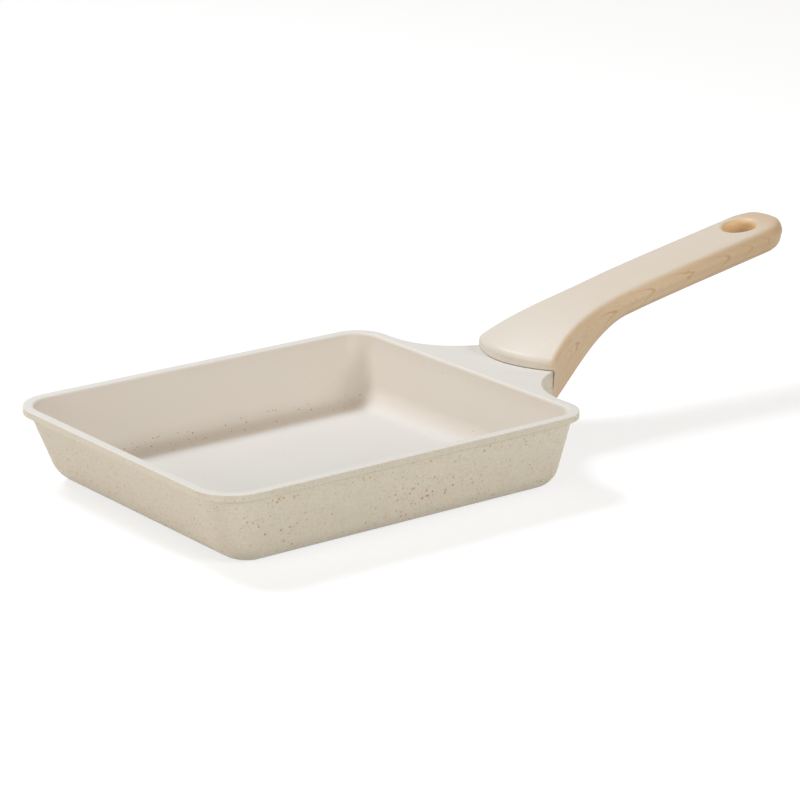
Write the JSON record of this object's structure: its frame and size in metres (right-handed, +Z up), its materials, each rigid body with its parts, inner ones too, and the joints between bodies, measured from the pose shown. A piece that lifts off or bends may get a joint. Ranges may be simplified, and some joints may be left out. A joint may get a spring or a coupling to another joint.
{
  "type": "tamagoyaki pan",
  "caption": "Small rectangular rolled-omelette pan with leaning walls, a cast bracket and a one-piece wood-look handle with a round hanging hole.",
  "frame": {"origin": "middle of the rim's plan, on the plane that the base rests on", "axes": "+X towards the handle, +Y across the pan, +Z up"},
  "size_m": [0.3456, 0.152, 0.0726],
  "materials": {
    "coated_casting": "satin ceramic coating, speckled outside",
    "base_steel": "brushed",
    "wood_look_handle": "satin with a pale wood grain",
    "fastener_steel": "zinc plated"
  },
  "bodies": {
    "root": {"pan_body": "coated_casting", "induction_plate": "base_steel", "handle": "wood_look_handle", "flat_washer": "fastener_steel", "spring_washer": "fastener_steel", "handle_screw": "fastener_steel"}
  },
  "joints": []
}
